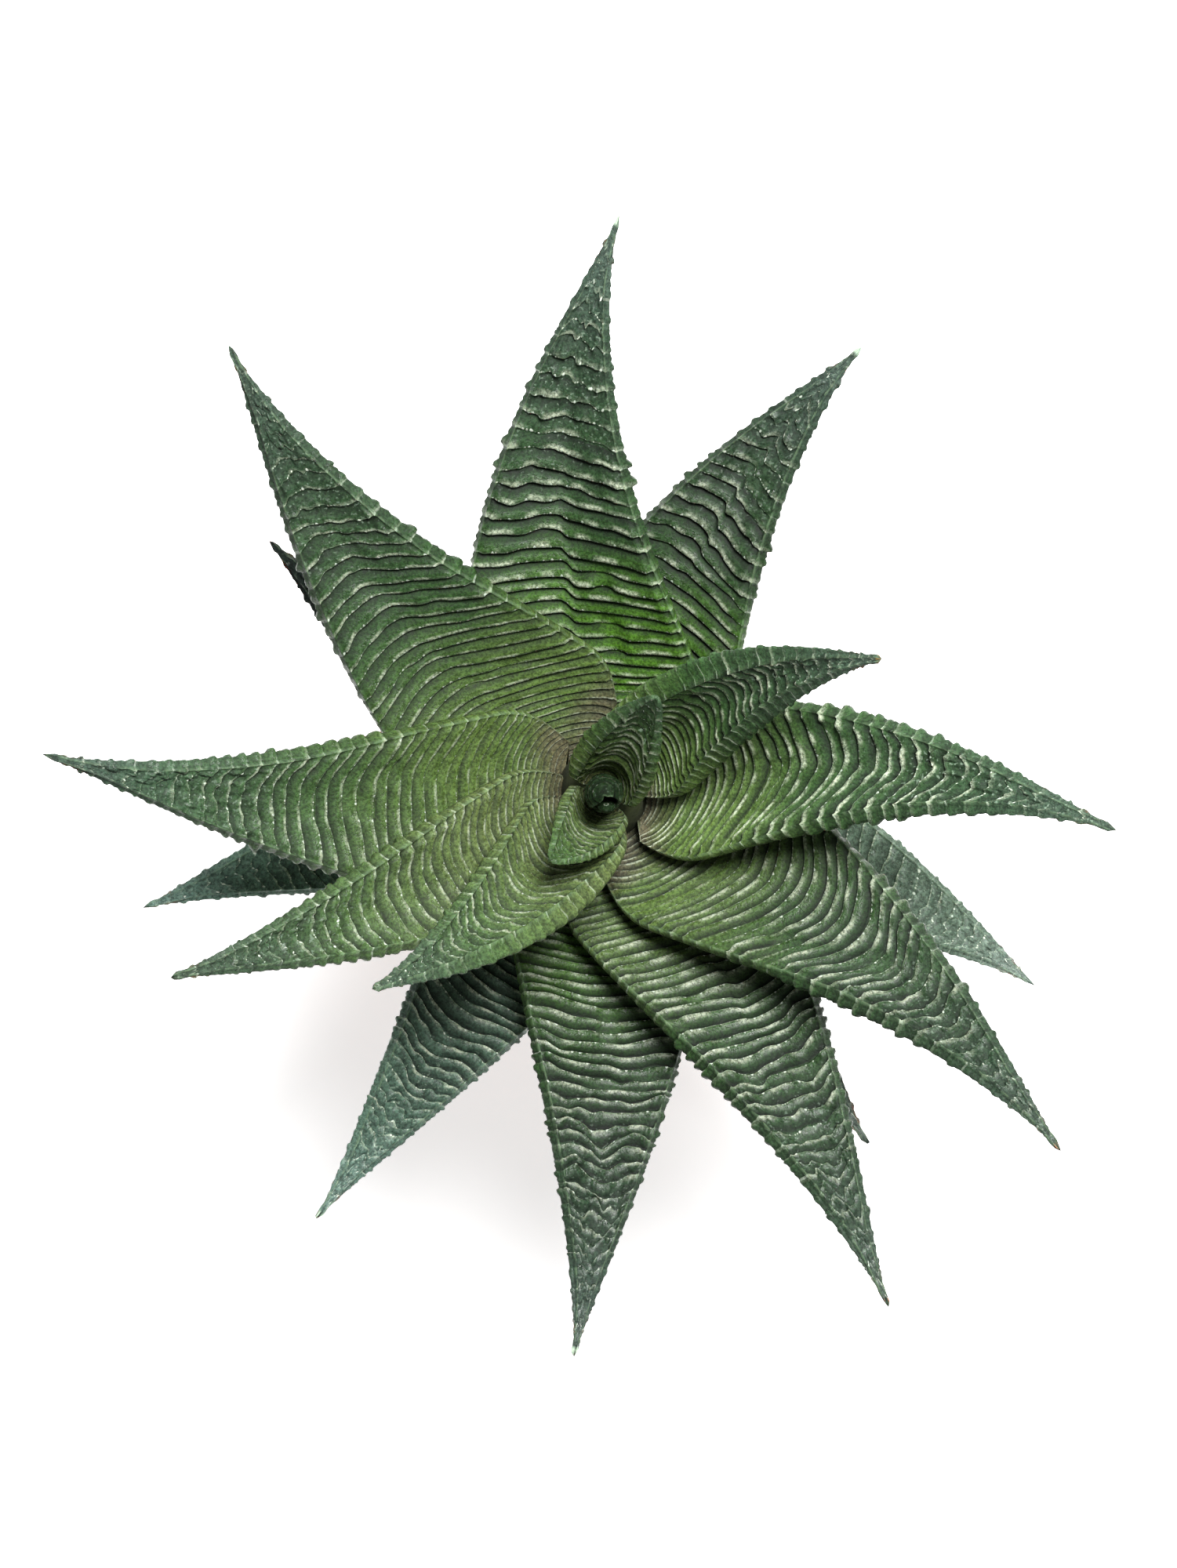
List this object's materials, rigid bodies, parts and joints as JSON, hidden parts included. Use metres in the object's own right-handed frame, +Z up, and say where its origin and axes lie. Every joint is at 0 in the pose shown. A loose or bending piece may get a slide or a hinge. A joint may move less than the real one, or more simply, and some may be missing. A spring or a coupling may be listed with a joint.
{
  "type": "potted aloe",
  "caption": "Small rosette succulent with ridged, pointed leaves spiralling in two ranks round a short stem, growing in soil in a plain round terracotta pot",
  "frame": {"origin": "centre of the pot's foot, on the surface that the pot stands on; the centre of the whole object's bounding box in plan", "axes": "+Z up; +Y is the top of the picture, which looks straight down"},
  "size_m": [0.1318, 0.1444, 0.1128],
  "materials": {
    "terracotta": "unglazed, matte",
    "soil": "coarse, matte",
    "stem_tissue": "matte",
    "leaf_green": "waxy, satin, raised crosswise ridges"
  },
  "bodies": {
    "root": {"pot": "terracotta", "soil": "soil", "stem": "stem_tissue", "bud_inner": "leaf_green", "bud_outer": "leaf_green", "leaf_01": "leaf_green", "leaf_02": "leaf_green", "leaf_03": "leaf_green", "leaf_04": "leaf_green", "leaf_05": "leaf_green", "leaf_06": "leaf_green", "leaf_07": "leaf_green", "leaf_08": "leaf_green", "leaf_09": "leaf_green", "leaf_10": "leaf_green", "leaf_11": "leaf_green", "leaf_12": "leaf_green", "leaf_13": "leaf_green", "leaf_14": "leaf_green", "leaf_15": "leaf_green", "leaf_16": "leaf_green", "leaf_17": "leaf_green", "leaf_18": "leaf_green"}
  },
  "joints": []
}
